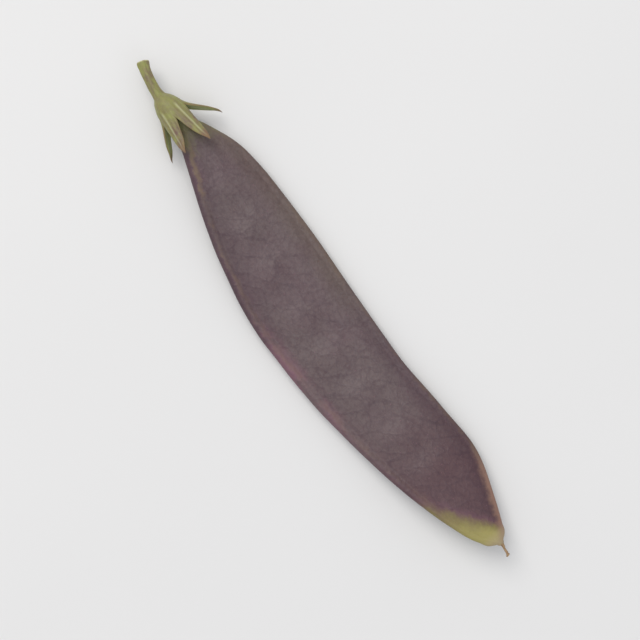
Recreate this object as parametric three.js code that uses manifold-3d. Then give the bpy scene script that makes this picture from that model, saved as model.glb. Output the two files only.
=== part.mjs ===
// Snow pea pod (purple mangetout), picked, lying flat on one of its two valves.
// Millimetres. +X runs from the stalk to the tip, -Y is the seed seam, +Y the back seam, +Z is up.
// The origin is on the surface that the pod lies on, under the middle of the whole part.

import * as THREE from "three";
import { mergeVertices } from "three/addons/utils/BufferGeometryUtils.js";
import Module from "manifold-3d";

// Outline of the pod, neck to beak: distance from the neck, y of the seed seam, y of the back seam
// and half of the thickness between the valves.
const SECTIONS = [
  [0, 3.75, 6.65, 1.45],
  [2.4, 3.5, 7.0, 1.45],
  [5.5, 2.3, 8.5, 1.4],
  [10, 0.5, 10.1, 1.45],
  [16, -2.1, 10.8, 1.5],
  [24, -5.1, 10.6, 1.6],
  [34, -7.7, 9.8, 1.65],
  [45, -8.9, 8.7, 1.65],
  [57, -8.8, 7.7, 1.65],
  [68, -7.9, 7.7, 1.6],
  [77, -6.5, 7.4, 1.45],
  [84, -4.8, 5.2, 1.2],
  [89.2, -2.7, 2.6, 0.9],
  [90.9, -1.6, 1.6, 0.75],
  [91.5, -0.6, 0.7, 0.55],
];
const POD_LENGTH = 91.5;
const NECK_Y = 5.2;

// Lie of the pod: the middle plane is low at the belly and both ends rise from there.
const BELLY_X = 43;
const BELLY_HEIGHT = 1.52;
const END_RISE = 2.9;
const END_RISE_REACH = 45;
const NECK_TWIST = THREE.MathUtils.degToRad(10);
const TIP_TWIST = THREE.MathUtils.degToRad(13);

// Seams: the rounded cords along both edges.
const SEED_SEAM_RADIUS = 1.0;
const BACK_SEAM_RADIUS = 0.7;
const SEAM_TIP_SHARE = 0.62;

// Swellings over the young peas.
const PEA_COUNT = 8;
const PEA_FIRST_X = 15.5;
const PEA_LAST_X = 75;
const PEA_ACROSS = -0.14;
const PEA_REACH_ALONG = 2.9;
const PEA_REACH_ACROSS = 3.1;
const PEA_RISE_TOP = 0.56;
const PEA_RISE_BELLY = 0.3;
const PEA_HOLLOW = 0.11;

// Calyx: a cup round the neck, five sepals and the cut stalk.
const CUP_RADIUS = 2.45;
const CUP_BORE_RADIUS = 1.9;
const CUP_RIM_X = 0.8;
const CUP_FLOOR_X = -0.4;
const STALK_RADIUS = 0.9;
const STALK_END_X = -9.6;
const STALK_BEND_Y = 1.7;
const STALK_BEND_Z = -0.7;
const SEPAL_THICKNESS = 0.72;

// Each sepal: angle round the neck from the back seam, length along, spread outwards, half width.
const SEPALS = [
  { angle: -14, reach: 5.6, spread: 6.4, halfWidth: 1.35 },
  { angle: 58, reach: 8.2, spread: 3.3, halfWidth: 1.5 },
  { angle: 130, reach: 7.4, spread: 4.0, halfWidth: 1.65 },
  { angle: 202, reach: 6.6, spread: 5.6, halfWidth: 1.5 },
  { angle: 274, reach: 8.0, spread: 3.1, halfWidth: 1.5 },
];

// Dried style at the beak.
const STYLE_LENGTH = 2.3;
const STYLE_RADIUS = 0.36;
const STYLE_ROOT_Y = 0.05;
const STYLE_GAP = 0.3;

// Fineness of the surfaces.
const POD_STEPS_ALONG = 84;
const POD_STEPS_AROUND = 44;

const wasm = await Module();
wasm.setup();

// A closed surface through rings of equally many points, each end closed by a fan to its middle.
function loft(rings) {
  const around = rings[0].length;
  const positions = rings.flat().flatMap((p) => [p.x, p.y, p.z]);
  const index = [];
  for (let i = 0; i < rings.length - 1; i++) {
    for (let j = 0; j < around; j++) {
      const next = (j + 1) % around;
      const a = i * around + j;
      const b = i * around + next;
      const c = (i + 1) * around + j;
      const d = (i + 1) * around + next;
      index.push(a, b, d, a, d, c);
    }
  }
  for (const last of [false, true]) {
    const ring = last ? rings[rings.length - 1] : rings[0];
    const middle = ring
      .reduce((sum, p) => sum.add(p), new THREE.Vector3())
      .divideScalar(around);
    const start = last ? (rings.length - 1) * around : 0;
    const tip = positions.length / 3;
    positions.push(middle.x, middle.y, middle.z);
    for (let j = 0; j < around; j++) {
      const next = (j + 1) % around;
      if (last) index.push(start + j, start + next, tip);
      else index.push(start + next, start + j, tip);
    }
  }
  const geometry = new THREE.BufferGeometry();
  geometry.setAttribute(
    "position",
    new THREE.Float32BufferAttribute(positions, 3),
  );
  geometry.setIndex(index);
  return facingOut(geometry);
}

// Turns the triangles round where the enclosed volume comes out negative.
function facingOut(geometry) {
  const p = geometry.getAttribute("position");
  const index = geometry.getIndex().array;
  const corner = (k) => new THREE.Vector3().fromBufferAttribute(p, index[k]);
  let volume = 0;
  for (let k = 0; k < index.length; k += 3) {
    volume += corner(k).dot(corner(k + 1).cross(corner(k + 2)));
  }
  if (volume < 0) {
    for (let k = 0; k < index.length; k += 3) {
      [index[k + 1], index[k + 2]] = [index[k + 2], index[k + 1]];
    }
  }
  return geometry;
}

function solidOf(source) {
  const geometry = source.clone();
  geometry.deleteAttribute("normal");
  geometry.deleteAttribute("uv");
  const merged = mergeVertices(geometry, 1e-4);
  return new wasm.Manifold(
    new wasm.Mesh({
      numProp: 3,
      vertProperties: merged.getAttribute("position").array,
      triVerts: new Uint32Array(merged.getIndex().array),
    }),
  );
}

function geometryOf(solid) {
  const mesh = solid.getMesh();
  const geometry = new THREE.BufferGeometry();
  geometry.setAttribute(
    "position",
    new THREE.BufferAttribute(mesh.vertProperties, 3),
  );
  geometry.setIndex(new THREE.BufferAttribute(mesh.triVerts, 1));
  geometry.computeVertexNormals();
  return geometry;
}

const { lerp, smoothstep } = THREE.MathUtils;

// Height of the pod's middle plane above the surface it lies on.
function middleHeight(x) {
  return BELLY_HEIGHT + END_RISE * ((x - BELLY_X) / END_RISE_REACH) ** 2;
}

// Turn of a section about the pod's length: the seed seam is lifted towards both ends.
function twist(x) {
  const neck = NECK_TWIST * (1 - smoothstep(x, 4, 42));
  const tip = TIP_TWIST * smoothstep(x, 58, 88);
  return neck + tip;
}

// The peas: places along and across the pod and their relative size, smaller towards both ends.
const PEAS = Array.from({ length: PEA_COUNT }, (_, i) => {
  const share = i / (PEA_COUNT - 1);
  return {
    x: lerp(PEA_FIRST_X, PEA_LAST_X, share) + 0.7 * Math.sin(2.3 * i + 0.4),
    across: PEA_ACROSS + 0.035 * Math.sin(3.1 * i),
    size: lerp(0.5, 1, Math.sin(Math.PI * lerp(0.12, 0.9, share))),
  };
});

// Rise of one valve over the peas, with a faint hollow between neighbours.
function peaRise(x, q, halfWidth) {
  const w = q / halfWidth;
  const window = Math.max(0, 1 - w * w);
  let rise = 0;
  for (const pea of PEAS) {
    const along = (x - pea.x) / (PEA_REACH_ALONG * Math.sqrt(pea.size));
    const across = (q - pea.across * halfWidth) / PEA_REACH_ACROSS;
    rise += pea.size * Math.exp(-((along ** 2 + across ** 2) ** 1.3));
  }
  const between = smoothstep(x, 12, 20) * (1 - smoothstep(x, 68, 78));
  return window * (rise - (PEA_HOLLOW / PEA_RISE_TOP) * between * (1 - rise));
}

// Half thickness of the pod at q across a section: a flat lens between two round cords.
function halfThickness(x, q, halfWidth, body) {
  const ends = smoothstep(x, 2, 9) * (1 - smoothstep(x, 87, POD_LENGTH));
  const round = body * Math.sqrt(Math.max(0, 1 - (q / halfWidth) ** 2));
  const taper = lerp(1, SEAM_TIP_SHARE, smoothstep(x, 60, 88));
  const seed = SEED_SEAM_RADIUS * taper;
  const back = BACK_SEAM_RADIUS * taper;
  const low = -halfWidth + 0.85 * seed;
  const high = halfWidth - 0.85 * back;
  const w = (2 * q - low - high) / (high - low);
  const lens = body * Math.max(0, 1 - Math.abs(w) ** 3.2) ** 0.72;
  const cordAt = (centre, radius) =>
    Math.sqrt(Math.max(0, radius ** 2 - (q - centre) ** 2));
  const seedCord = cordAt(-halfWidth + seed, seed);
  const backCord = cordAt(halfWidth - back, back);
  const full = (lens ** 3 + seedCord ** 3 + backCord ** 3) ** (1 / 3);
  return lerp(round, full, ends);
}

function podRings() {
  const edge = (column) =>
    new THREE.CatmullRomCurve3(
      SECTIONS.map((s) => new THREE.Vector3(s[0], s[column], s[3])),
    );
  const seedEdge = edge(1);
  const backEdge = edge(2);
  const rings = [];
  for (let i = 0; i <= POD_STEPS_ALONG; i++) {
    const t = i / POD_STEPS_ALONG;
    const seed = seedEdge.getPoint(t);
    const back = backEdge.getPoint(t);
    const body = (seed.z + back.z) / 2;
    const x = (seed.x + back.x) / 2;
    seed.z = 0;
    back.z = 0;
    const centre = seed.clone().add(back).divideScalar(2);
    centre.z = middleHeight(x);
    const halfWidth = seed.distanceTo(back) / 2;
    const turn = twist(x);
    const across = back.clone().sub(seed).normalize();
    across.z = -across.y * Math.sin(turn);
    across.y *= Math.cos(turn);
    const up = new THREE.Vector3(0, Math.sin(turn), Math.cos(turn));
    const ring = [];
    for (let j = 0; j < POD_STEPS_AROUND; j++) {
      const angle = (2 * Math.PI * j) / POD_STEPS_AROUND;
      const q = -halfWidth * Math.cos(angle);
      const top = angle <= Math.PI;
      const rise =
        (top ? PEA_RISE_TOP : PEA_RISE_BELLY) * peaRise(x, q, halfWidth);
      const ends = smoothstep(x, 8, 14) * (1 - smoothstep(x, 76, 84));
      const half = halfThickness(x, q, halfWidth, body) + ends * rise;
      const point = centre.clone().addScaledVector(across, q);
      ring.push(point.addScaledVector(up, top ? half : -half));
    }
    rings.push(ring);
  }
  return rings;
}

// The pod, with the underside of the belly pressed flat where it lies.
function podGeometry() {
  const slab = new THREE.BoxGeometry(200, 80, 20);
  slab.translate(45, 0, -10);
  return geometryOf(solidOf(loft(podRings())).subtract(solidOf(slab)));
}

// Axis of the neck, the cup and the stalk, bending gently behind the cup.
function stalkAxis(x) {
  const bend = (Math.max(0, -x - 1.8) / (-STALK_END_X - 1.8)) ** 2;
  return new THREE.Vector3(
    x,
    NECK_Y + STALK_BEND_Y * bend,
    middleHeight(0) + STALK_BEND_Z * bend,
  );
}

// Rings round the stalk's axis from pairs of a place along it and a radius.
function stalkRings(profile, around) {
  return profile.map(([x, radius]) => {
    const centre = stalkAxis(x);
    const along = stalkAxis(x + 0.01)
      .sub(stalkAxis(x - 0.01))
      .normalize();
    const side = new THREE.Vector3(0, 0, 1).cross(along).normalize();
    const up = along.clone().cross(side);
    return Array.from({ length: around }, (_, j) => {
      const angle = (2 * Math.PI * j) / around;
      return centre
        .clone()
        .addScaledVector(side, radius * Math.cos(angle))
        .addScaledVector(up, radius * Math.sin(angle));
    });
  });
}

// Stalk and cup in one turned form, open in front for the neck of the pod.
function cupGeometry() {
  const profile = [
    [STALK_END_X, STALK_RADIUS * 0.95],
    [STALK_END_X + 0.25, STALK_RADIUS * 1.12],
    [STALK_END_X + 1.2, STALK_RADIUS],
    [-6.6, STALK_RADIUS * 0.96],
    [-4.4, STALK_RADIUS],
    [-3.2, STALK_RADIUS * 1.2],
    [-2.4, CUP_RADIUS * 0.7],
    [-1.4, CUP_RADIUS * 0.9],
    [-0.3, CUP_RADIUS],
    [CUP_RIM_X - 0.15, CUP_RADIUS + 0.05],
    [CUP_RIM_X, CUP_RADIUS - 0.15],
    [CUP_RIM_X, CUP_BORE_RADIUS + 0.1],
    [CUP_RIM_X - 0.2, CUP_BORE_RADIUS],
    [CUP_FLOOR_X, CUP_BORE_RADIUS],
  ];
  return loft(stalkRings(profile, 20));
}

// One sepal: a pointed blade, bent outwards from the rim and curved round the axis across its width.
function sepalGeometry({ angle, reach, spread, halfWidth }) {
  const line = new THREE.CubicBezierCurve3(
    new THREE.Vector3(-0.9, 2.1, 0),
    new THREE.Vector3(0.25 * reach, 2.3, 0),
    new THREE.Vector3(0.55 * reach, 0.92 * spread, 0),
    new THREE.Vector3(reach, spread, 0),
  );
  const steps = 10;
  const around = 12;
  const rings = [];
  for (let i = 0; i <= steps; i++) {
    const t = i / steps;
    const on = line.getPoint(t);
    const along = line.getTangent(t);
    const width = halfWidth * lerp(0.95, 1.05, t) * (1 - t ** 2.2) ** 0.8 + 0.28;
    const half = (SEPAL_THICKNESS / 2) * lerp(1, 0.86, t);
    const ring = [];
    for (let j = 0; j < around; j++) {
      const turn = (2 * Math.PI * j) / around;
      const radius = on.y + half * Math.sin(turn) * along.x;
      const x = on.x - half * Math.sin(turn) * along.y;
      const place =
        THREE.MathUtils.degToRad(angle) + (width * Math.cos(turn)) / on.y;
      const centre = stalkAxis(0);
      ring.push(
        new THREE.Vector3(
          x,
          centre.y + radius * Math.cos(place),
          centre.z + radius * Math.sin(place),
        ),
      );
    }
    rings.push(ring);
  }
  return loft(rings);
}

function calyxGeometry() {
  let solid = solidOf(cupGeometry());
  for (const sepal of SEPALS) solid = solid.add(solidOf(sepalGeometry(sepal)));
  return geometryOf(solid);
}

// The dried style: a thin curved thread with a slightly thicker end.
function styleGeometry() {
  const root = new THREE.Vector3(
    POD_LENGTH + STYLE_GAP,
    STYLE_ROOT_Y,
    middleHeight(POD_LENGTH),
  );
  const line = new THREE.QuadraticBezierCurve3(
    root,
    root.clone().add(new THREE.Vector3(0.55 * STYLE_LENGTH, 0.2, 0.1)),
    root.clone().add(new THREE.Vector3(STYLE_LENGTH, -0.5, 0.3)),
  );
  const steps = 8;
  const rings = [];
  for (let i = 0; i <= steps; i++) {
    const t = i / steps;
    const centre = line.getPoint(t);
    const along = line.getTangent(t);
    const side = new THREE.Vector3(0, 0, 1).cross(along).normalize();
    const up = along.clone().cross(side);
    const radius =
      STYLE_RADIUS * (1.15 - 0.3 * Math.sin(Math.PI * Math.min(1, 1.15 * t)));
    rings.push(
      Array.from({ length: 10 }, (_, j) => {
        const angle = (2 * Math.PI * j) / 10;
        return centre
          .clone()
          .addScaledVector(side, radius * Math.cos(angle))
          .addScaledVector(up, radius * Math.sin(angle));
      }),
    );
  }
  return loft(rings);
}

function makeMesh(name, geometry, color, roughness) {
  const material = new THREE.MeshStandardMaterial({
    color,
    roughness,
    metalness: 0,
  });
  const mesh = new THREE.Mesh(geometry, material);
  mesh.name = name;
  return mesh;
}

const root = new THREE.Group();
root.name = "snow_pea_pod";
root.add(makeMesh("pod", podGeometry(), 0x6a5560, 0.5));
root.add(makeMesh("calyx", calyxGeometry(), 0x87904e, 0.65));
root.add(makeMesh("style", styleGeometry(), 0xa38b6a, 0.8));

// Brings the middle of the whole part's length and width to the origin.
const box = new THREE.Box3().setFromObject(root);
const middle = box.getCenter(new THREE.Vector3());
for (const mesh of root.children) mesh.position.set(-middle.x, -middle.y, 0);

export default root;
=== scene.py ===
"""Purple snow pea pod, lying on one valve on a pale floor, seen straight from above.

Shapes are worked out in millimetres from the neck of the pod and put into the meshes in metres,
in the frame of the solid model: +X runs from the cut stalk to the tip, -Y is the seed seam,
+Y the back seam, +Z is up, and the floor is at zero.
"""

import bpy
import numpy as np
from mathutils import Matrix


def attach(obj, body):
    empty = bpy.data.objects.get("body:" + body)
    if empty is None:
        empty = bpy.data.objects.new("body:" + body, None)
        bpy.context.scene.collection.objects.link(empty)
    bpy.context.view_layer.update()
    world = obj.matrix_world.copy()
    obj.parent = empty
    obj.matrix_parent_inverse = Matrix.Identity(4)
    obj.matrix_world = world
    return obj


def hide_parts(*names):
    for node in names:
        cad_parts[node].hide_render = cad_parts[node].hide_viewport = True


bl_info = {
    "name": "Snow Pea Pod",
    "version": (1, 0, 0),
    "blender": (4, 5, 0),
    "location": "3D View > Sidebar > Snow Pea",
    "description": "Builds a purple snow pea pod with its calyx, stalk and dried style",
    "category": "Add Mesh",
}

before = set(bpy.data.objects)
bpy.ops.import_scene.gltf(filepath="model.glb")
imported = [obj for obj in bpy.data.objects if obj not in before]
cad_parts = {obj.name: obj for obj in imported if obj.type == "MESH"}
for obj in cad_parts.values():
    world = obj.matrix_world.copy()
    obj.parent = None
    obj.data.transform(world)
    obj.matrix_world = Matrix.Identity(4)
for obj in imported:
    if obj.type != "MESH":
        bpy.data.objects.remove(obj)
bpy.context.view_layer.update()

METRES = 0.001
NECK_IN_FRAME = np.array([-42.184, -1.352, 0.0])

# Outline of the pod: distance from the neck, y of the seed seam, y of the back seam
# and half of the thickness between the valves.
SECTIONS = np.array(
    [
        [0, 3.75, 6.65, 1.45],
        [2.4, 3.5, 7.0, 1.45],
        [5.5, 2.3, 8.5, 1.4],
        [10, 0.5, 10.1, 1.45],
        [16, -2.1, 10.8, 1.5],
        [24, -5.1, 10.6, 1.6],
        [34, -7.7, 9.8, 1.65],
        [45, -8.9, 8.7, 1.65],
        [57, -8.8, 7.7, 1.65],
        [68, -7.9, 7.7, 1.6],
        [77, -6.5, 7.4, 1.45],
        [84, -4.8, 5.2, 1.2],
        [89.2, -2.7, 2.6, 0.9],
        [90.9, -1.6, 1.6, 0.75],
        [91.5, -0.6, 0.7, 0.55],
    ]
)
POD_LENGTH = 91.5
BEAK_DOME = 0.5
BEAK_DOME_RINGS = 6
END_CROWDING = 0.45

# How the pod lies: on its belly, with both ends raised and the seed seam lifted towards them.
BELLY_X = 43.0
BELLY_HEIGHT = 1.52
END_RISE = 2.9
END_RISE_REACH = 45.0
NECK_TWIST = np.radians(10)
TIP_TWIST = np.radians(13)

# The lens between the cords of the seams, how far it starts inside them, and the cords' taper.
LENS_IN_CORD = 0.85
LENS_SQUARENESS = 3.2
LENS_FULLNESS = 0.72
SEAM_TIP_SHARE = 0.62
GROOVE_REACH = 0.17

# Swellings over the peas.
PEA_COUNT = 8
PEA_FIRST_X = 15.5
PEA_LAST_X = 75.0
PEA_ACROSS = -0.14
PEA_REACH_ALONG = 2.9
PEA_REACH_ACROSS = 3.1
PEA_HOLLOW = 0.196

# Stretches along the pod: where a form sets in, is full, fades and has gone.
BODY_STRETCH = (2, 9, 87, POD_LENGTH)
PEA_STRETCH = (8, 14, 76, 84)
HOLLOW_STRETCH = (12, 20, 68, 78)
WAVE_STRETCH = (6, 16, 80, 88)
FOLD_STRETCH = (2.5, 6, 9, 20)
FOLD_RISE = 0.09

# Two families of veins: direction along and across, spacing, width and height of a ridge, and
# which way the warp pushes them.
VEINS = ((0.80, -0.60, 2.9, 0.27, 1.0, 1), (0.72, 0.69, 3.6, 0.25, 0.8, -1))

# The stalk and the cup: distance from the neck and radius, from the cut end to the sepals' roots.
STALK_SECTIONS = np.array(
    [
        [-9.6, 0.96],
        [-9.35, 1.0],
        [-8.4, 0.9],
        [-6.6, 0.87],
        [-4.4, 0.91],
        [-3.2, 1.09],
        [-2.4, 1.72],
        [-1.4, 2.2],
        [-0.9, 2.38],
    ]
)
NECK_Y = 5.2
STALK_END_X = -9.6
STALK_BEND_X = -1.8
STALK_BEND_Y = 1.7
STALK_BEND_Z = -0.7
CUP_FLOOR_X = -0.4
CUP_FLOOR_RADIUS = 1.85

# Sepals in turn round the neck: angle from the back seam, length along, spread outwards and
# half width.
SEPALS = np.array(
    [
        [58, 8.2, 3.3, 1.5],
        [130, 7.4, 4.0, 1.65],
        [202, 6.6, 5.6, 1.5],
        [274, 8.0, 3.1, 1.5],
        [346, 5.6, 6.4, 1.35],
    ]
)
SEPAL_ROOT_X = -0.9
SEPAL_ROOT_RADIUS = 2.1
SEPAL_MIDRIB = 0.09
SEPAL_TIP_CURL = 0.35

# What the calyx's points know: share of the way up a sepal, share of the way to its edge,
# distance from its midrib or place among the stalk's ribs, distance from the neck, and whether
# they are on the cut end or on an inner face.
CALYX_MARKS = ("lobe", "edge", "rib", "reach", "cut", "inner")

# The dried style: its visible length, the length inside the beak, and its knob near the end.
STYLE_LENGTH = 2.3
STYLE_HIDDEN = 0.4
STYLE_ROOT_DEPTH = 0.1
STYLE_ROOT_Y = 0.05
KNOB_AT = 0.93
KNOB_REACH = 0.06

# Noise: knots each way, a shift that keeps their numbers positive, and what each draw starts from.
NOISE_KNOTS = 64
NOISE_SHIFT = 500
DRAWS = {
    "seed edge": 3,
    "back edge": 4,
    "cut end": 5,
    "slow wave": 7,
    "stalk lumps": 9,
    "style wrinkles": 12,
    "upper veins": 20,
    "lower veins": 40,
}

# The stage, in metres. The picture's up direction is at 139.5 degrees from +X, seen from above.
FLOOR_REACH = 1.5
CAMERA_PLACE = (0.001, 0.0, 0.290)
CAMERA_ROLL = np.radians(49.5)
CAMERA_LENS = 95
SKY_COLOUR = (0.93, 0.95, 1.0)
SKY_STRENGTH = 0.7

# Lamps: name, place along the picture's up and right, height, width, power and colour.
LAMPS = (
    ("key", 0.50, -0.33, 0.72, 0.64, 4.8, (1.0, 0.98, 0.95)),
    ("fill", -0.45, 0.35, 0.46, 0.60, 0.5, (0.93, 0.96, 1.0)),
    ("top", 0.0, -0.05, 0.75, 0.70, 0.8, (1.0, 1.0, 1.0)),
)


def size(name, description, default, low, high):
    """A size in millimetres, as a property."""
    return bpy.props.FloatProperty(
        name=name,
        description=f"{description}, in millimetres",
        default=default,
        min=low,
        max=high,
        precision=3,
    )


def colour(name, description, default):
    """A linear colour, as a property."""
    return bpy.props.FloatVectorProperty(
        name=name, description=description, default=default, size=3, subtype="COLOR", min=0, max=1
    )


class SnowPeaSizes(bpy.types.PropertyGroup):
    """Sizes of the pod's forms, in millimetres."""

    seed_seam: size("Seed seam", "Radius of the cord along the seed seam", 1.0, 0.4, 1.6)
    back_seam: size("Back seam", "Radius of the cord along the back seam", 0.7, 0.3, 1.4)
    groove: size("Seam groove", "Depth of the groove where the valves meet", 0.13, 0, 0.4)
    pea_rise: size("Pea swelling", "Rise of the upper valve over a pea", 0.5, 0, 1.5)
    pea_rise_belly: size("Lower pea swelling", "Rise of the lower valve over a pea", 0.3, 0, 1)
    vein_rise: size("Vein relief", "Height of the net of veins", 0.035, 0, 0.2)
    wave: size("Waviness", "Slow unevenness of the valves", 0.14, 0, 0.4)
    rib: size("Stalk ribs", "Height of the ribs along the stalk", 0.05, 0, 0.2)
    sepal_root: size("Sepal root", "Thickness of a sepal at its root", 0.6, 0.3, 0.9)
    sepal_tip: size("Sepal tip", "Thickness of a sepal towards its tip", 0.34, 0.1, 0.8)
    style_radius: size("Style radius", "Radius of the dried style", 0.36, 0.15, 0.6)


class SnowPeaColours(bpy.types.PropertyGroup):
    """Colours of the pod's surfaces and of the floor."""

    skin: colour("Skin", "Dusky purple of the valves", (0.094, 0.055, 0.061))
    skin_grey: colour("Grey skin", "Greyer patches of the valves", (0.101, 0.068, 0.068))
    skin_red: colour("Red skin", "Redder, darker skin towards the tip", (0.083, 0.04, 0.045))
    vein: colour("Veins", "Darker lines of the net of veins", (0.04, 0.016, 0.026))
    bloom: colour("Bloom", "Thin waxy bloom over the valves", (0.172, 0.14, 0.139))
    # Pink of the seed seam's blush and specks, also laid on as a painted glint in the seam's
    # middle.
    blush_and_glint: colour("Blush", "Pink along the seed seam", (0.2, 0.085, 0.12))
    # Brown of the seams, also laid on as a painted highlight along the seed seam's crest.
    seam_brown_and_highlight: colour("Seam brown", "Yellowish brown of the seams", (0.16, 0.11, 0.065))
    seam_green: colour("Seam green", "Yellow-green seed seam near the tip", (0.29, 0.254, 0.08))
    seam_olive: colour("Seam olive", "Olive between the green and the purple", (0.19, 0.16, 0.048))
    seam_pale: colour("Pale beak", "Pale yellow of the very tip", (0.325, 0.255, 0.15))
    rim_tan: colour("Rim tan", "Orange-tan of the back seam near the tip", (0.22, 0.125, 0.09))
    neck_green: colour("Neck green", "Green of the neck", (0.18, 0.186, 0.06))
    sepal: colour("Sepal", "Dull yellow-green of the calyx", (0.242, 0.248, 0.068))
    sepal_flush: colour("Sepal flush", "Purple flush on the sepals", (0.12, 0.05, 0.065))
    dry: colour("Dry edge", "Dried brown of the sepal tips", (0.2, 0.12, 0.06))
    # Paler green of the sepals' inner faces and the cup's floor, made lighter still as painted
    # light against their shade.
    inner_green_and_painted_light: colour("Sepal inside", "Paler green of the inner faces", (0.36, 0.4, 0.14))
    pith: colour("Pith", "Pale inside of the cut stalk", (0.5, 0.5, 0.28))
    style: colour("Style", "Tan of the dried style", (0.36, 0.24, 0.13))
    style_dark: colour("Dark style", "Brown of the dried style", (0.12, 0.065, 0.035))
    floor: colour("Floor", "Pale floor", (0.68, 0.673, 0.66))


def smooth(value, low, high):
    """0 below low, 1 above high, and a soft S-curve between."""
    t = np.clip((value - low) / (high - low), 0, 1)
    return t * t * (3 - 2 * t)


def between(x, start, full, fade, end):
    """1 from full to fade and 0 outside start and end, with a soft S-curve up and down."""
    return smooth(x, start, full) * (1 - smooth(x, fade, end))


def cubic_through(at, value, x):
    """A cubic between each two places, with the slope at each that its neighbours give."""
    slope = np.gradient(value, at)
    i = np.clip(np.searchsorted(at, x, side="right") - 1, 0, len(at) - 2)
    step = at[i + 1] - at[i]
    t = (x - at[i]) / step
    rest = 1 - t
    near = rest**2 * ((1 + 2 * t) * value[i] + t * step * slope[i])
    far = t**2 * ((3 - 2 * t) * value[i + 1] - rest * step * slope[i + 1])
    return near + far


def soft_noise(a, b, cell, draw):
    """Smooth noise from -1 to 1: random values on a square net, blended between its knots.

    draw is a name in DRAWS, or the number that the draw starts from.
    """
    start = DRAWS.get(draw, draw)
    table = np.random.default_rng(start).uniform(-1, 1, (NOISE_KNOTS, NOISE_KNOTS))
    a = np.asarray(a) / cell + NOISE_SHIFT
    b = np.asarray(b) / cell + NOISE_SHIFT
    i = np.floor(a).astype(int)
    j = np.floor(b).astype(int)
    s = smooth(a - i, 0, 1)
    t = smooth(b - j, 0, 1)
    i, i_next = i % NOISE_KNOTS, (i + 1) % NOISE_KNOTS
    j, j_next = j % NOISE_KNOTS, (j + 1) % NOISE_KNOTS
    low = table[i, j] * (1 - s) + table[i_next, j] * s
    high = table[i, j_next] * (1 - s) + table[i_next, j_next] * s
    return low * (1 - t) + high * t


def middle_height(x):
    """Height of the pod's middle plane: a parabola, low at the belly."""
    return BELLY_HEIGHT + END_RISE * ((x - BELLY_X) / END_RISE_REACH) ** 2


def twist(x):
    """Turn of a section about the pod's length: the seed seam is lifted towards both ends."""
    return NECK_TWIST * (1 - smooth(x, 4, 42)) + TIP_TWIST * smooth(x, 58, 88)


def pea_places():
    """Place along the pod, place across as a share of the half width, and size of each pea.

    The places are even, but for a sine of the pea's number, and the middle peas are the largest.
    """
    i = np.arange(PEA_COUNT)
    share = i / (PEA_COUNT - 1)
    along = PEA_FIRST_X + (PEA_LAST_X - PEA_FIRST_X) * share + 0.7 * np.sin(2.3 * i + 0.4)
    across = PEA_ACROSS + 0.035 * np.sin(3.1 * i)
    big = 0.5 + 0.5 * np.sin(np.pi * (0.12 + 0.78 * share))
    return along, across, big


def pea_rise(x, q, half_width):
    """Sum of domes exp(-(a^2 + b^2)^1.3) over the peas, less a faint hollow between them."""
    along, across, big = pea_places()
    a = (x[..., None] - along) / (PEA_REACH_ALONG * np.sqrt(big))
    b = (q[..., None] - across * half_width[..., None]) / PEA_REACH_ACROSS
    rise = (big * np.exp(-((a**2 + b**2) ** 1.3))).sum(axis=-1)
    window = np.clip(1 - (q / half_width) ** 2, 0, 1)
    return window * (rise - PEA_HOLLOW * between(x, *HOLLOW_STRETCH) * (1 - rise))


def vein_net(x, q, half_width, draw):
    """Two crossing families of warped oblique lines, each a narrow ridge exp(-(sin/width)^2)."""
    start = DRAWS[draw]
    warp = 0.55 * soft_noise(x, q, 7.0, start) + 0.28 * soft_noise(x, q, 2.6, start + 1)
    fan = 0.35 * (q / half_width) ** 2
    lines = 0
    for along, across, spacing, width, height, push in VEINS:
        wave = np.sin(np.pi * ((along * x + across * q) / spacing + push * (warp + fan)))
        lines = lines + height * np.exp(-((wave / width) ** 2))
    broken = 0.55 + 0.45 * soft_noise(x, q, 4.5, start + 2)
    return np.clip(lines, 0, 1.2) * broken


def half_thickness(x, q, half_width, body, sizes):
    """Half of the thickness at q across a section.

    It is the cube root of the sum of the cubes of a flat lens body * (1 - |w|^3.2)^0.72, where w
    runs from -1 to 1 between the seams, and of two round cords. Towards the neck and the beak it
    becomes a plain half ellipse.
    """
    plain = body * np.sqrt(np.clip(1 - (q / half_width) ** 2, 0, 1))
    taper = 1 + (SEAM_TIP_SHARE - 1) * smooth(x, 60, 88)
    seed = sizes.seed_seam * taper
    back = sizes.back_seam * taper
    low = -half_width + LENS_IN_CORD * seed
    high = half_width - LENS_IN_CORD * back
    w = (2 * q - low - high) / (high - low)
    lens = body * np.clip(1 - np.abs(w) ** LENS_SQUARENESS, 0, 1) ** LENS_FULLNESS
    seed_cord = np.sqrt(np.clip(seed**2 - (q + half_width - seed) ** 2, 0, None))
    back_cord = np.sqrt(np.clip(back**2 - (q - half_width + back) ** 2, 0, None))
    full = np.cbrt(lens**3 + seed_cord**3 + back_cord**3)
    return plain + (full - plain) * between(x, *BODY_STRETCH)


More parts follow.
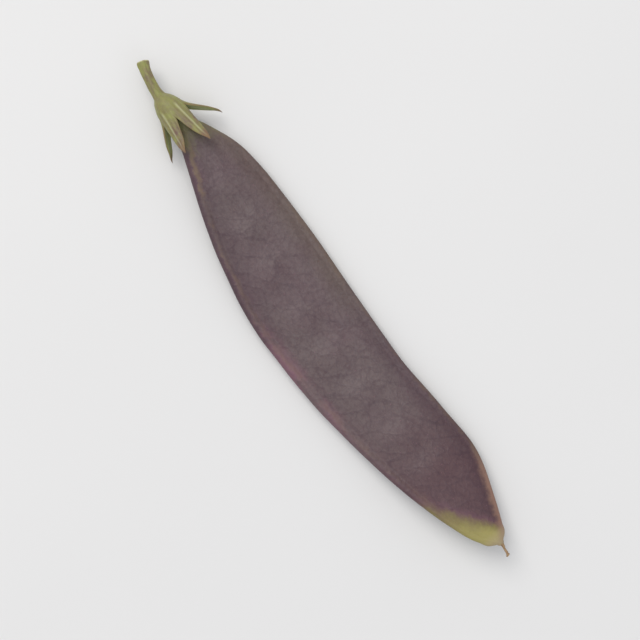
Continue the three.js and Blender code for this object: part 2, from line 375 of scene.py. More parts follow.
def pod_surface(sizes, along_steps=430, around_steps=208):
    """The pod's closed surface: sections across the pod carried from the neck to the rounded beak.

    A section runs along the upper valve from the seed seam to the back seam and returns below:
    q = -half width * cos(angle) across, and the half thickness up or down, with the swellings,
    veins and folds added to it. The groove draws q in where the section is thin. The section is
    then turned by the twist and set at the height of the middle plane. The last rings shrink
    over a quarter circle, which rounds the beak.
    """
    u = np.linspace(0, 1, along_steps)
    x = POD_LENGTH * (u - END_CROWDING * np.sin(2 * np.pi * u) / (2 * np.pi))
    dome = np.linspace(0, 0.5 * np.pi, BEAK_DOME_RINGS + 2)[1:-1]
    x = np.concatenate([x, np.full(len(dome), POD_LENGTH)])[:, None]
    ahead = np.concatenate([np.zeros(along_steps), BEAK_DOME * np.sin(dome)])[:, None]
    shrink = np.concatenate([np.ones(along_steps), np.cos(dome)])[:, None]
    at, seed_seam, back_seam, body = SECTIONS.T
    seed_y = cubic_through(at, seed_seam, x) + 0.09 * soft_noise(x, 0 * x, 5.5, "seed edge")
    back_y = cubic_through(at, back_seam, x) + 0.11 * soft_noise(x, 0 * x, 6.5, "back edge")
    half_width = (back_y - seed_y) / 2
    middle_y = (back_y + seed_y) / 2

    angle = 2 * np.pi * np.arange(around_steps)[None, :] / around_steps
    side = np.where(angle <= np.pi, 1.0, -1.0)
    upper = side > 0
    q = -half_width * np.cos(angle)
    x_all = x + 0 * q
    width_all = half_width + 0 * q
    half = half_thickness(x, q, half_width, cubic_through(at, body, x), sizes)

    face = np.clip(1 - (q / half_width) ** 2, 0, 1)
    peas = between(x, *PEA_STRETCH) * pea_rise(x_all, q, width_all)
    upper_veins, lower_veins = (
        vein_net(x_all, q, width_all, draw) for draw in ("upper veins", "lower veins")
    )
    veins = np.where(upper, upper_veins, lower_veins) * smooth(face, 0.12, 0.45)
    veins = veins * smooth(x, 3, 14) * (1 - 0.7 * smooth(x, 80, 88))
    slow = soft_noise(x_all, q, 9.0, "slow wave") * smooth(face, 0.1, 0.6)
    slow = slow * between(x, *WAVE_STRETCH)
    folds = np.cos(1.9 * q + 0.8 * np.sin(0.5 * x)) * smooth(face, 0.05, 0.5)
    folds = folds * between(x, *FOLD_STRETCH)
    rise = np.where(upper, sizes.pea_rise, sizes.pea_rise_belly) * peas
    half = half + rise + sizes.vein_rise * veins + FOLD_RISE * folds

    groove = sizes.groove * np.exp(-((half / GROOVE_REACH) ** 2)) * smooth(x, 4, 12)
    groove = groove * (1 - 0.6 * smooth(x, 84, POD_LENGTH))
    q = q - np.sign(q) * groove * np.abs(np.cos(angle))

    turn = twist(x)
    height = side * half + sizes.wave * slow
    y = middle_y + shrink * (q * np.cos(turn) + height * np.sin(turn))
    z = middle_height(x) + shrink * (height * np.cos(turn) - q * np.sin(turn))
    points = np.stack([x_all + ahead, y, np.maximum(z, 0.0)], axis=-1)

    facts = {
        "along": x_all,
        "from_seed_seam": q + width_all,
        "from_back_seam": width_all - q,
        "pea": peas,
        "vein": veins,
    }
    return points, facts


def around_stalk(x, radius, place):
    """Points at a radius and an angle round the stalk's middle line, in planes square to it.

    The line is straight through the neck and the cup, and then bends as a parabola.
    """
    past = np.maximum(0, STALK_BEND_X - x)
    length = STALK_BEND_X - STALK_END_X
    bend = (past / length) ** 2
    slope = 2 * past / length**2
    out_y = radius * np.cos(place)
    out_z = radius * np.sin(place)
    lean = slope * (STALK_BEND_Y * out_y + STALK_BEND_Z * out_z)
    y = NECK_Y + STALK_BEND_Y * bend + out_y
    z = middle_height(0.0) + STALK_BEND_Z * bend + out_z
    return np.stack([x + lean, y, z], axis=-1)


def marked(points, **marks):
    """Rings of the calyx with their marks; a mark that isn't given is 0 all over."""
    shape = points.shape[:2]
    return points, {name: np.broadcast_to(marks.get(name, 0.0), shape) for name in CALYX_MARKS}


def cut_end(place):
    """The stalk's cut end: rings on a disc that is dished by a cosine and a little rough."""
    share = np.array([0.12, 0.3, 0.5, 0.68, 0.82, 0.92, 0.98])[:, None]
    rough = soft_noise(3 * share * np.cos(place), 3 * share * np.sin(place), 0.8, "cut end")
    x = STALK_END_X + 0.1 * np.cos(2.2 * np.pi * share) * (1 - share) + 0.06 * share**4
    points = around_stalk(x + 0.03 * rough, 0.97 * share, place)
    return marked(points, rib=share, reach=STALK_END_X, cut=1.0)


def stalk_and_cup(sizes, place, steps=90):
    """The stalk and the cup: a cubic through the sections' radii, with ribs and slow lumps.

    The ribs are a cosine of 5 times the angle and a smaller one of 13 times it.
    """
    number = np.arange(len(STALK_SECTIONS), dtype=float)
    at = np.linspace(0, number[-1], steps)[:, None]
    x = np.interp(at, number, STALK_SECTIONS[:, 0])
    ribs = np.cos(5 * place + 0.25 * x) + 0.4 * np.cos(13 * place - 0.2 * x)
    ribs = sizes.rib * ribs * between(x, -9.7, -9.0, -3.4, -1.2)
    lumps = 0.04 * soft_noise(x, 3 * np.cos(place), 1.6, "stalk lumps")
    lumps = lumps * between(x, -9.6, -8.5, -2, -0.9)
    radius = cubic_through(number, STALK_SECTIONS[:, 1], at) + ribs + lumps
    return marked(
        around_stalk(x, radius, place),
        rib=0.5 + 0.5 * np.cos(5 * place),
        reach=x,
        cut=1 - smooth(x, -9.6, -9.35),
    )


def sepal_line(t, reach, spread):
    """A cubic Bezier from the cup's rim to the sepal's tip.

    Gives the distance along, the radius, and the two slopes as a line of length 1.
    """
    knots_x = (SEPAL_ROOT_X + 0 * reach, 0.25 * reach, 0.55 * reach, reach)
    knots_r = (SEPAL_ROOT_RADIUS + 0 * spread, 2.3 + 0 * spread, 0.92 * spread, spread)
    s = 1 - t
    weights = (s**3, 3 * s**2 * t, 3 * s * t**2, t**3)
    slopes = (-3 * s**2, 3 * s**2 - 6 * s * t, 6 * s * t - 3 * t**2, 3 * t**2)
    along, radius, slope_x, slope_r = (
        sum(w * k for w, k in zip(parts, knots))
        for parts in (weights, slopes)
        for knots in (knots_x, knots_r)
    )
    length = np.sqrt(slope_x**2 + slope_r**2)
    return along, radius, slope_x / length, slope_r / length


def sepal_rays(place, steps=200):
    """The sepal at each angle round the neck: length, spread, angle off its middle, and its top.

    A ray runs up its own Bezier as far as the sepal is wide there, so the rays end along the
    sepals' edges. The half width is wide * (1 + 0.1 t) * (1 - t^2.2)^0.8, and in the gap between
    two sepals their lengths, spreads and widths blend.
    """
    turns = np.radians(np.append(SEPALS[:, 0], 360 + SEPALS[0, 0]))
    k = np.clip(np.searchsorted(turns, place, side="right") - 1, 0, len(SEPALS) - 1)
    after = (k + 1) % len(SEPALS)
    share = (place - turns[k]) / (turns[k + 1] - turns[k])
    mix = smooth(share, 0.36, 0.64)
    reach, spread, wide = (SEPALS[k, c] * (1 - mix) + SEPALS[after, c] * mix for c in (1, 2, 3))
    signed = np.where(share < 0.5, place - turns[k], place - turns[k + 1])

    t = np.linspace(0, 1, steps)[:, None]
    _, radius, _, _ = sepal_line(t, reach, spread)
    off = np.abs(signed)
    half_angle = (wide * (1 + 0.1 * t) * (1 - t**2.2) ** 0.8 + 0.05) / radius
    last = np.clip((half_angle >= off).sum(axis=0) - 1, 0, steps - 2)
    column = np.arange(place.shape[1])
    over = half_angle[last, column] - off[0]
    under = half_angle[last + 1, column] - off[0]
    part = np.clip(over / np.maximum(over - under, 1e-9), 0, 1)
    top = np.clip((last + part) / (steps - 1), 0.03, 1)[None, :]
    return reach, spread, signed, top


def sepal_face(sizes, place, rays, share_up, face):
    """Rings over the sepals' outer (face 1) or inner (face -1) side.

    Each side stands off the Bezier by half of the thickness, which closes over the last part as
    sqrt(1 - share^6). The outer side has a midrib exp(-(distance/0.2)^2) and fine ribs.
    """
    reach, spread, signed, top = rays
    t = share_up * top
    along, radius, slope_x, slope_r = sepal_line(t, reach, spread)
    closing = np.sqrt(np.clip(1 - share_up**6, 0, 1))
    thick = sizes.sepal_root + (sizes.sepal_tip - sizes.sepal_root) * smooth(t, 0, 0.7)
    across = signed * radius
    out = face * thick * closing / 2
    if face > 0:
        ribs = SEPAL_MIDRIB * np.exp(-((across / 0.2) ** 2)) + 0.025 * np.cos(9 * across)
        out = out + ribs * (1 - t) * closing
    out = out + SEPAL_TIP_CURL * smooth(t, 0.75, 1) + 0.1 * np.sin(5 * across + 3 * reach) * t
    points = around_stalk(along - out * slope_r, radius + out * slope_x, place)
    inner = 0.0 if face > 0 else 1.0
    return marked(points, lobe=t, edge=share_up, rib=np.abs(across), reach=along, inner=inner)


def cup_floor(place):
    """The floor of the cup, round the neck: rings on a shallow cosine bowl."""
    radius = np.array([CUP_FLOOR_RADIUS, 1.6, 1.1, 0.5])[:, None]
    x = CUP_FLOOR_X - 0.12 * np.cos(0.5 * np.pi * radius / CUP_FLOOR_RADIUS)
    return marked(around_stalk(x, radius, place), rib=1.0, reach=CUP_FLOOR_X, inner=1.0)


def calyx_surface(sizes, around_steps=300, up_steps=44):
    """One closed surface: the cut stalk, the cup and five sepals, and back down inside the cup.

    The rings of each stretch run round the neck, one after the other; the outer and inner faces
    of the sepals meet in a thin rounded edge.
    """
    place = 2 * np.pi * np.arange(around_steps)[None, :] / around_steps + np.radians(SEPALS[0, 0])
    rays = sepal_rays(place)
    up = np.sin(0.5 * np.pi * np.linspace(0, 1, up_steps)[1:, None])
    stretches = (
        cut_end(place),
        stalk_and_cup(sizes, place),
        sepal_face(sizes, place, rays, up, 1),
        sepal_face(sizes, place, rays, up[:-1][::-1], -1),
        cup_floor(place),
    )
    points = np.concatenate([rings for rings, _ in stretches])
    facts = {name: np.concatenate([marks[name] for _, marks in stretches]) for name in CALYX_MARKS}
    return points, facts


def style_surface(sizes, along_steps=70, around_steps=28):
    """A thread along a curve that bends towards the seed seam, thinned and wrinkled, with a knob.

    The radius narrows by an S-curve, swells by exp(-((t - 0.93)/0.06)^2) at the knob, and closes
    over the last part as a quarter circle.
    """
    t = np.linspace(0, 1, along_steps)[:, None]
    angle = 2 * np.pi * np.arange(around_steps)[None, :] / around_steps
    length = STYLE_LENGTH + STYLE_HIDDEN
    x = POD_LENGTH - STYLE_ROOT_DEPTH + length * (1.1 * t - 0.1 * t * t)
    y = STYLE_ROOT_Y + 0.4 * t * (1 - t) - 0.5 * t * t + 0.05 * np.sin(9 * t)
    z = middle_height(POD_LENGTH) + 0.2 * t * (1 - t) + 0.3 * t * t + 0.04 * np.sin(7 * t + 1)
    knob = np.exp(-(((t - KNOB_AT) / KNOB_REACH) ** 2))
    wrinkles = soft_noise(14 * t, 2.2 * np.cos(angle), 0.9, "style wrinkles")
    radius = sizes.style_radius * (1.2 - 0.62 * smooth(t, 0, 0.45) + 0.5 * knob)
    radius = radius * (1 + 0.14 * wrinkles) * (1 + 0.1 * np.cos(3 * angle + 5 * t))
    radius = radius * np.sqrt(np.clip(1 - ((t - 0.94) / 0.061).clip(0, 1) ** 2, 0.02, 1))
    y = y + radius * np.cos(angle)
    z = z + radius * np.sin(angle)
    return np.stack([x + 0 * angle, y, z], axis=-1), {"thread": t + 0 * angle}


def put_in_mesh(name, points, facts, material):
    """Makes an object of rings of points: quads between the rings, and a fan over each end.

    The facts become attributes of the points; the fan's middle takes its ring's mean. The sum of
    each quad's corner times its normal is below zero where the faces point inwards, and all of
    them are then turned round.
    """
    rows, around = points.shape[:2]
    middles = np.stack([points[0].mean(axis=0), points[-1].mean(axis=0)])
    vertices = (np.concatenate([points.reshape(-1, 3), middles]) + NECK_IN_FRAME) * METRES
    grid = np.arange(rows * around).reshape(rows, around)
    turned = np.roll(grid, -1, axis=1)
    quads = np.stack([grid[:-1], grid[1:], turned[1:], turned[:-1]], axis=-1).reshape(-1, 4)
    middle = np.full(around, rows * around)
    start = np.stack([grid[0], turned[0], middle], axis=-1)
    finish = np.stack([turned[-1], grid[-1], middle + 1], axis=-1)
    fans = np.concatenate([start, finish])
    corner = vertices[quads]
    normal = np.cross(corner[:, 1] - corner[:, 0], corner[:, 2] - corner[:, 0])
    if np.einsum("ij,ij->", corner[:, 0], normal) < 0:
        quads = quads[:, ::-1]
        fans = fans[:, ::-1]
    corners = np.concatenate([quads.ravel(), fans.ravel()]).astype(np.int32)
    sides = np.concatenate([np.full(len(quads), 4), np.full(len(fans), 3)])
    starts = np.concatenate([[0], np.cumsum(sides)[:-1]]).astype(np.int32)

    mesh = bpy.data.meshes.new(name)
    mesh.vertices.add(len(vertices))
    mesh.vertices.foreach_set("co", vertices.ravel())
    mesh.loops.add(len(corners))
    mesh.loops.foreach_set("vertex_index", corners)
    mesh.polygons.add(len(sides))
    mesh.polygons.foreach_set("loop_start", starts)
    mesh.update(calc_edges=True)
    if mesh.validate():
        raise RuntimeError(f"{name}: the mesh had faults")
    mesh.shade_smooth()
    for fact, value in facts.items():
        flat = np.concatenate([value.ravel(), [value[0].mean(), value[-1].mean()]])
        layer = mesh.attributes.new(fact, "FLOAT", "POINT")
        layer.data.foreach_set("value", flat.astype(np.float32))
    mesh.materials.append(material)
    piece = bpy.data.objects.new(name, mesh)
    bpy.context.scene.collection.objects.link(piece)
    return piece


class Shader:
    """A material's nodes, added one at a time."""

    def __init__(self, name):
        self.material = bpy.data.materials.new(name)
        self.material.use_nodes = True
        self.tree = self.material.node_tree
        self.tree.nodes.clear()
        self.skin = self.add("ShaderNodeBsdfPrincipled")
        self.add("ShaderNodeOutputMaterial", {"Surface": self.skin.outputs["BSDF"]})
        self.place = self.add("ShaderNodeTexCoord").outputs["Object"]

    def add(self, kind, inputs=(), **settings):
        """A node with its settings and its inputs, each a value or another node's output."""
        made = self.tree.nodes.new(kind)
        for key, value in settings.items():
            setattr(made, key, value)
        for key, value in dict(inputs).items():
            self.give(made.inputs[key], value)
        return made

    def give(self, socket, value):
        """Links an output to a socket, or sets a plain value on it."""
        if isinstance(value, bpy.types.NodeSocket):
            self.tree.links.new(value, socket)
        elif socket.type == "RGBA":
            socket.default_value = (*value, 1)
        else:
            socket.default_value = value

    def fact(self, name):
        """One of the piece's own point attributes."""
        return self.add("ShaderNodeAttribute", attribute_name=name).outputs["Fac"]

    def ramp(self, value, low, high, start=0.0, end=1.0):
        """A soft step of a value between two limits."""
        limits = dict(enumerate((value, low, high, start, end)))
        return self.add("ShaderNodeMapRange", limits, interpolation_type="SMOOTHSTEP").outputs[0]

    def math(self, kind, a, b):
        """A Math node of two values."""
        return self.add("ShaderNodeMath", {0: a, 1: b}, operation=kind).outputs[0]

    def plus(self, a, b):
        """The sum of two values."""
        return self.math("ADD", a, b)

    def times(self, value, *factors):
        """The product of two or more values."""
        for factor in factors:
            value = self.math("MULTIPLY", value, factor)
        return value

    def mix(self, share, a, b):
        """Colour b laid over colour a by a share."""
        return self.add("ShaderNodeMix", {0: share, 6: a, 7: b}, data_type="RGBA").outputs[2]

    def noise(self, scale, detail, rough, stretch=None):
        """Noise on Object coordinates; stretch scales the three directions."""
        place = self.place
        if stretch is not None:
            place = self.add("ShaderNodeMapping", {"Vector": place, "Scale": stretch}).outputs[0]
        inputs = {"Vector": place, "Scale": scale, "Detail": detail, "Roughness": rough}
        return self.add("ShaderNodeTexNoise", inputs).outputs["Fac"]

    def warped(self, scale, reach):
        """Object coordinates pushed about by noise, by up to half of reach each way."""
        inputs = {"Vector": self.place, "Scale": scale, "Detail": 2.0}
        push = self.add("ShaderNodeTexNoise", inputs).outputs["Color"]
        inputs = {0: push, 1: (reach, reach, reach), 2: self.place}
        return self.add("ShaderNodeVectorMath", inputs, operation="MULTIPLY_ADD").outputs[0]

    def cells(self, scale, feature="DISTANCE_TO_EDGE", long=(1, 1, 1), turn=0.0, place=None):
        """Voronoi cells on Object coordinates, made longer and turned about Z."""
        inputs = {"Vector": place or self.place, "Scale": long, "Rotation": (0, 0, turn)}
        placed = self.add("ShaderNodeMapping", inputs, vector_type="TEXTURE").outputs[0]
        inputs = {"Vector": placed, "Scale": scale}
        return self.add("ShaderNodeTexVoronoi", inputs, feature=feature).outputs["Distance"]

    def bump(self, height, distance, strength, below=None):
        """A bump of a height field, on top of another bump."""
        inputs = {"Height": height, "Distance": distance, "Strength": strength}
        if below is not None:
            inputs["Normal"] = below
        return self.add("ShaderNodeBump", inputs).outputs["Normal"]

    def finish(self, **sockets):
        """Sets the surface shader's own sockets by name, with spaces as underscores."""
        for key, value in sockets.items():
            self.give(self.skin.inputs[key.replace("_", " ")], value)
        return self.material


def pod_skin(colours):
    """Dusky purple skin: patches, darker net of veins, waxy bloom, the seams' own colours, and
    painted shade and painted highlights along the seed seam.

    Distances are in millimetres: along from the neck, seed_far and back_far from the seams, and
    past from the edge of the green that spreads from the seed seam towards the beak.
    """
    s = Shader("pod_skin")
    along = s.fact("along")
    patches = s.noise(110, detail=5, rough=0.6)
    streaks = s.noise(420, detail=5, rough=0.65, stretch=(0.3, 1.0, 1.0))
    mottle = s.noise(1500, detail=4, rough=0.65)
    grain = s.noise(5200, detail=2, rough=0.5)
    wavy = s.warped(300, 0.0022)
    net = s.cells(330, long=(2.1, 1.0, 1.0), turn=0.75, place=wavy)
    fine_net = s.cells(900, long=(1.6, 1.0, 1.0), turn=-0.5, place=wavy)

    # Patches, redder towards the tip, with a darker mottle and nets of veins.
    tone = s.mix(s.ramp(patches, 0.36, 0.64), colours.skin, colours.skin_grey)
    near_tip = s.plus(along, s.ramp(streaks, 0.3, 0.7, -6.0, 6.0))
    tone = s.mix(s.ramp(near_tip, 56, 80, 0, 0.92), tone, colours.skin_red)
    tone = s.mix(s.ramp(mottle, 0.4, 0.7, 0, 0.3), tone, colours.vein)
    tone = s.mix(s.ramp(fine_net, 0.0, 0.12, 0.2, 0), tone, colours.vein)
    tone = s.mix(s.ramp(net, 0.0, 0.07, 0.26, 0), tone, colours.vein)
    tone = s.mix(s.ramp(s.fact("vein"), 0.15, 0.9, 0, 0.42), tone, colours.vein)

    # Waxy bloom in streaks, thinner on the swellings, in the mottle and towards the tip, and
    # small pink specks.
    haze = s.times(
        s.ramp(streaks, 0.3, 0.66, 0.55, 1),
        s.ramp(s.fact("pea"), 0.2, 1.0, 0.33, 0.26),
        s.ramp(mottle, 0.35, 0.62, 1, 0.65),
        s.ramp(along, 60, 78, 1, 0.22),
    )
    tone = s.mix(haze, tone, colours.bloom)
    specks = s.ramp(s.cells(980, "F1"), 0.045, 0.1, 0.5, 0.0)
    tone = s.mix(specks, tone, colours.blush_and_glint)

    # Darker towards the seed seam in the neck half and towards the back seam in the tip half,
    # with a tinge of olive along the back seam in the neck half.
    wander = s.ramp(s.noise(650, detail=4, rough=0.65), 0.3, 0.7, -0.35, 0.35)
    seed_far = s.plus(s.fact("from_seed_seam"), wander)
    back_far = s.plus(s.fact("from_back_seam"), wander)
    seed_shade = s.times(s.ramp(seed_far, 1.0, 6.0, 0.34, 0.0), s.ramp(along, 32, 46, 1, 0))
    back_shade = s.times(s.ramp(back_far, 0.8, 5.0, 0.34, 0.0), s.ramp(along, 38, 58, 0.35, 1))
    tone = s.mix(s.plus(seed_shade, back_shade), tone, colours.vein)
    tinge = s.times(s.ramp(back_far, 0.8, 5.0, 0.1, 0.0), s.ramp(along, 38, 50, 1, 0))
    tone = s.mix(tinge, tone, colours.seam_olive)

    # The seed seam: pink in the middle, partly its own blush and partly a painted glint, painted
    # shade on its outer flank and a brown line on the crest towards the neck, partly the seam's own
    # brown and partly a painted highlight. The back seam: a thin brown line.
    broken = s.noise(330, detail=4, rough=0.6, stretch=(0.5, 1.0, 1.0))
    broken = s.ramp(broken, 0.38, 0.6, 0.15, 1)
    middle = s.times(s.ramp(along, 33, 45, 0.25, 1), s.ramp(along, 50, 68, 1, 0.2))
    # Pink stretch in the middle of the seed seam, partly the seam's own blush and partly a painted
    # glint.
    blush_and_glint = s.times(s.ramp(seed_far, 0.6, 3.6, 0.58, 0.0), middle, broken)
    tone = s.mix(blush_and_glint, tone, colours.blush_and_glint)
    # Painted shade on the seed seam's outer flank towards the neck, in the colour of the veins.
    painted_flank_shade = s.times(s.ramp(seed_far, 0.2, 1.0, 0.35, 0.0), s.ramp(along, 38, 46, 1, 0))
    tone = s.mix(painted_flank_shade, tone, colours.vein)
    # Brown line on the seed seam's crest: the seam's own brown, strengthened as a painted
    # highlight.
    crest_brown_and_highlight = s.times(s.ramp(seed_far, 0.6, 1.1), s.ramp(seed_far, 1.4, 2.1, 1.0, 0.0))
    crest_brown_and_highlight = s.times(crest_brown_and_highlight, s.ramp(along, 14, 42, 0.7, 0.25), broken)
    tone = s.mix(crest_brown_and_highlight, tone, colours.seam_brown_and_highlight)
    thin = s.times(s.ramp(back_far, 0.3, 1.0, 0.5, 0.0), s.ramp(along, 50, 80, 0.5, 1), broken)
    tone = s.mix(thin, tone, colours.seam_brown_and_highlight)

    # The yellow-green of the seed seam spreads on to the valve over the last stretch to the beak:
    # a pink edge, then olive, then green.
    past = s.math("SUBTRACT", seed_far, s.times(s.math("SUBTRACT", along, 76.0), 0.36))
    start = s.ramp(s.plus(along, s.ramp(streaks, 0.3, 0.7, -1.5, 1.5)), 75, 85)
    tone = s.mix(s.times(s.ramp(past, 0.1, 1.9, 0.25, 0.0), start), tone, colours.blush_and_glint)
    olive = s.times(s.ramp(past, -1.15, 0.7, 1.0, 0.0), start, s.ramp(streaks, 0.3, 0.6, 0.7, 0.95))
    tone = s.mix(olive, tone, colours.seam_olive)
    bright = s.times(s.ramp(past, -2.6, -0.4, 0.9, 0.0), s.ramp(along, 80, 90, 0.2, 1))
    tone = s.mix(bright, tone, colours.seam_green)

    # The tan rim of the back seam near the tip, the pale point of the beak and the green neck.
    rim = s.times(s.ramp(back_far, 0.4, 2.1, 0.9, 0.0), s.ramp(along, 75.5, 82))
    tone = s.mix(rim, tone, colours.rim_tan)
    tone = s.mix(s.ramp(along, 88.8, 91.3, 0, 0.75), tone, colours.seam_pale)
    neck = s.math("SUBTRACT", along, s.ramp(streaks, 0.3, 0.7, -2.5, 2.5))
    tone = s.mix(s.ramp(neck, 1.0, 9.5, 0.85, 0.0), tone, colours.neck_green)

    normal = s.bump(s.ramp(net, 0.0, 0.12, 1, 0), 0.00005, 0.6)
    normal = s.bump(s.ramp(fine_net, 0.0, 0.16, 1, 0), 0.00003, 0.5, normal)
    normal = s.bump(mottle, 0.00008, 0.45, normal)
    normal = s.bump(grain, 0.00003, 0.5, normal)
    return s.finish(
        Base_Color=tone,
        Roughness=s.plus(
            s.ramp(haze, 0.05, 0.42, 0.47, 0.6), s.ramp(mottle, 0.3, 0.7, -0.04, 0.05)
        ),
        Normal=normal,
        Subsurface_Weight=0.06,
        Subsurface_Radius=(1.0, 0.45, 0.3),
        Subsurface_Scale=0.0008,
        Specular_IOR_Level=0.36,
        Sheen_Weight=0.06,
        Sheen_Roughness=0.4,
        Sheen_Tint=(0.9, 0.82, 0.9),
    )


def calyx_skin(colours):
    """Dull green calyx and stalk, flushed purple, with dry tips and a pale cut face."""
    s = Shader("calyx_skin")
    lobe, edge, rib, reach, cut, inner = (s.fact(mark) for mark in CALYX_MARKS)
    patches = s.noise(760, detail=5, rough=0.65, stretch=(0.55, 1.0, 1.0))
    mottle = s.noise(2200, detail=4, rough=0.65)
    streaks = s.noise(1900, detail=3, rough=0.6, stretch=(0.16, 1.0, 1.0))

    # Green, with the flush on the sepals and on the stalk, the paler inside with painted light on
    # it, and the midribs.
    tone = s.mix(s.ramp(mottle, 0.3, 0.75, 0, 0.35), colours.sepal, colours.neck_green)
    flush = s.times(s.ramp(patches, 0.3, 0.72), s.ramp(lobe, 0.1, 0.75, 0.3, 0.9))
    tone = s.mix(flush, tone, colours.sepal_flush)
    stalk = s.times(s.ramp(reach, -7, -2, 0.6, 0.15), s.ramp(patches, 0.4, 0.66))
    tone = s.mix(stalk, tone, colours.sepal_flush)
    # The inner faces and the cup's floor: a paler green of their own, made lighter still as painted
    # light against their shade.
    tone = s.mix(s.times(inner, 0.8), tone, colours.inner_green_and_painted_light)
    midrib = s.times(s.ramp(rib, 0.05, 0.3, 0.5, 0), s.ramp(lobe, 0.02, 0.12))
    tone = s.mix(midrib, tone, colours.pith)

    # Dry streaks, tips and edges, and the cut end with its darker ring.
    tone = s.mix(s.ramp(streaks, 0.45, 0.75, 0, 0.3), tone, colours.dry)
    dry = s.math("MAXIMUM", s.ramp(lobe, 0.72, 0.98), s.ramp(edge, 0.9, 1.0, 0, 0.7))
    dry = s.times(dry, s.ramp(lobe, 0.05, 0.2))
    tone = s.mix(dry, tone, colours.dry)
    tone = s.mix(cut, tone, colours.pith)
    tone = s.mix(s.times(cut, s.ramp(rib, 0.66, 0.9, 0, 0.7)), tone, colours.dry)

    return s.finish(
        Base_Color=tone,
        Roughness=s.ramp(dry, 0, 1, 0.5, 0.75),
        Normal=s.bump(mottle, 0.0001, 0.5, s.bump(streaks, 0.00012, 0.6)),
        Subsurface_Weight=0.08,
        Subsurface_Radius=(0.7, 0.8, 0.25),
        Subsurface_Scale=0.0006,
        Specular_IOR_Level=0.4,
        Sheen_Weight=0.08,
    )


def style_skin(colours):
    """Dried thread: green at the root, brown along, paler at the knob, with fine wrinkles."""
    s = Shader("style_skin")
    thread = s.fact("thread")
    wrinkle = s.noise(3500, detail=3, rough=0.6, stretch=(0.3, 1, 1))
    tone = s.mix(s.ramp(wrinkle, 0.35, 0.7, 0.1, 0.7), colours.style, colours.style_dark)
    tone = s.mix(s.ramp(thread, 0.86, 0.97, 0, 0.75), tone, colours.style)
    tone = s.mix(s.ramp(thread, 0.02, 0.2, 0.85, 0), tone, colours.seam_green)
    return s.finish(
        Base_Color=tone,
        Roughness=0.75,
        Normal=s.bump(wrinkle, 0.00012, 0.8),
        Specular_IOR_Level=0.3,
    )


def floor_finish(colours):
    """Plain pale board, with a slow tone that hardly shows."""
    s = Shader("pale_floor")
    slow = s.noise(14, detail=2, rough=0.4)
    darker = tuple(0.985 * part for part in colours.floor)
    return s.finish(
        Base_Color=s.mix(s.ramp(slow, 0.3, 0.7), colours.floor, darker),
        Roughness=0.8,
        Specular_IOR_Level=0.2,
    )


class SNOWPEA_OT_pod(bpy.types.Operator):
    """Builds the pod: two valves, both seams, the swellings over the peas and the beak"""

    bl_idname = "snowpea.pod"
    bl_label = "Pod"

    def execute(self, context):
        points, facts = pod_surface(context.scene.snow_pea_sizes)
        material = pod_skin(context.scene.snow_pea_colours)
        piece = put_in_mesh("pod_skin", points, facts, material)
        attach(piece, "root")
        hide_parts("pod")
        return {"FINISHED"}


class SNOWPEA_OT_calyx(bpy.types.Operator):
    """Builds the calyx: the cut stalk, the cup and the five sepals in one surface"""

    bl_idname = "snowpea.calyx"
    bl_label = "Calyx and stalk"

    def execute(self, context):
        points, facts = calyx_surface(context.scene.snow_pea_sizes)
        material = calyx_skin(context.scene.snow_pea_colours)
        piece = put_in_mesh("calyx_and_stalk", points, facts, material)
        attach(piece, "root")
        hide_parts("calyx")
        return {"FINISHED"}


class SNOWPEA_OT_style(bpy.types.Operator):
    """Builds the dried style at the beak"""

    bl_idname = "snowpea.style"
    bl_label = "Dried style"

    def execute(self, context):
        points, facts = style_surface(context.scene.snow_pea_sizes)
        material = style_skin(context.scene.snow_pea_colours)
        piece = put_in_mesh("dried_style", points, facts, material)
        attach(piece, "root")
        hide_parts("style")
        return {"FINISHED"}


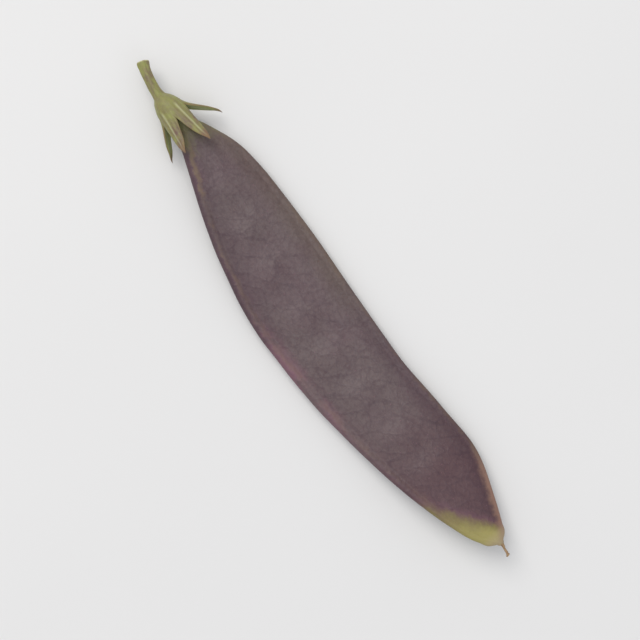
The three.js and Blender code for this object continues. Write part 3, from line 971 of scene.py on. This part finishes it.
class SNOWPEA_OT_stage(bpy.types.Operator):
    """Sets the floor, the soft lights and the camera that looks straight down"""

    bl_idname = "snowpea.stage"
    bl_label = "Floor, lights and camera"

    def execute(self, context):
        scene = context.scene
        r = FLOOR_REACH
        mesh = bpy.data.meshes.new("floor")
        mesh.from_pydata([(-r, -r, 0), (r, -r, 0), (r, r, 0), (-r, r, 0)], [], [(0, 1, 2, 3)])
        mesh.materials.append(floor_finish(scene.snow_pea_colours))
        floor = bpy.data.objects.new("floor", mesh)
        scene.collection.objects.link(floor)

        world = bpy.data.worlds.new("studio")
        world.use_nodes = True
        sky = world.node_tree.nodes["Background"]
        sky.inputs["Color"].default_value = (*SKY_COLOUR, 1)
        sky.inputs["Strength"].default_value = SKY_STRENGTH
        scene.world = world

        picture_up = np.array([-np.sin(CAMERA_ROLL), np.cos(CAMERA_ROLL)])
        picture_right = np.array([np.cos(CAMERA_ROLL), np.sin(CAMERA_ROLL)])
        for name, up, right, height, width, power, tint in LAMPS:
            data = bpy.data.lights.new(name, "AREA")
            data.shape = "DISK"
            data.size = width
            data.energy = power
            data.color = tint
            lamp = bpy.data.objects.new(name, data)
            x, y = up * picture_up + right * picture_right
            lamp.location = (x, y, height)
            tilt = np.arctan2(np.hypot(x, y), height)
            lamp.rotation_euler = (tilt, 0, np.arctan2(-y, -x) - np.pi / 2)
            scene.collection.objects.link(lamp)

        data = bpy.data.cameras.new("camera")
        data.sensor_width = 36
        data.lens = CAMERA_LENS
        data.clip_start = 0.01
        data.clip_end = 10
        camera = bpy.data.objects.new("camera", data)
        camera.location = CAMERA_PLACE
        camera.rotation_euler = (0, 0, CAMERA_ROLL)
        scene.collection.objects.link(camera)
        scene.camera = camera
        scene.view_settings.view_transform = "Standard"
        return {"FINISHED"}


class SNOWPEA_PT_panel(bpy.types.Panel):
    """Lists the pieces, sizes and colours of the pod"""

    bl_idname = "SNOWPEA_PT_panel"
    bl_label = "Snow Pea"
    bl_space_type = "VIEW_3D"
    bl_region_type = "UI"
    bl_category = "Snow Pea"

    def draw(self, context):
        layout = self.layout
        for step in STEPS:
            layout.operator(step.bl_idname)
        for group in (context.scene.snow_pea_sizes, context.scene.snow_pea_colours):
            box = layout.box()
            for name in group.__annotations__:
                box.prop(group, name)


STEPS = (SNOWPEA_OT_stage, SNOWPEA_OT_pod, SNOWPEA_OT_calyx, SNOWPEA_OT_style)
CLASSES = (SnowPeaSizes, SnowPeaColours, *STEPS, SNOWPEA_PT_panel)


def register():
    """Registers the classes and hangs the sizes and colours on the scene."""
    for each in CLASSES:
        bpy.utils.register_class(each)
    bpy.types.Scene.snow_pea_sizes = bpy.props.PointerProperty(type=SnowPeaSizes)
    bpy.types.Scene.snow_pea_colours = bpy.props.PointerProperty(type=SnowPeaColours)


def unregister():
    """Takes away what register made, in the opposite order."""
    del bpy.types.Scene.snow_pea_colours
    del bpy.types.Scene.snow_pea_sizes
    for each in reversed(CLASSES):
        bpy.utils.unregister_class(each)


def main():
    """Builds the stage and the pieces."""
    register()
    bpy.ops.snowpea.stage()
    bpy.ops.snowpea.pod()
    bpy.ops.snowpea.calyx()
    bpy.ops.snowpea.style()


if __name__ == "__main__":
    main()
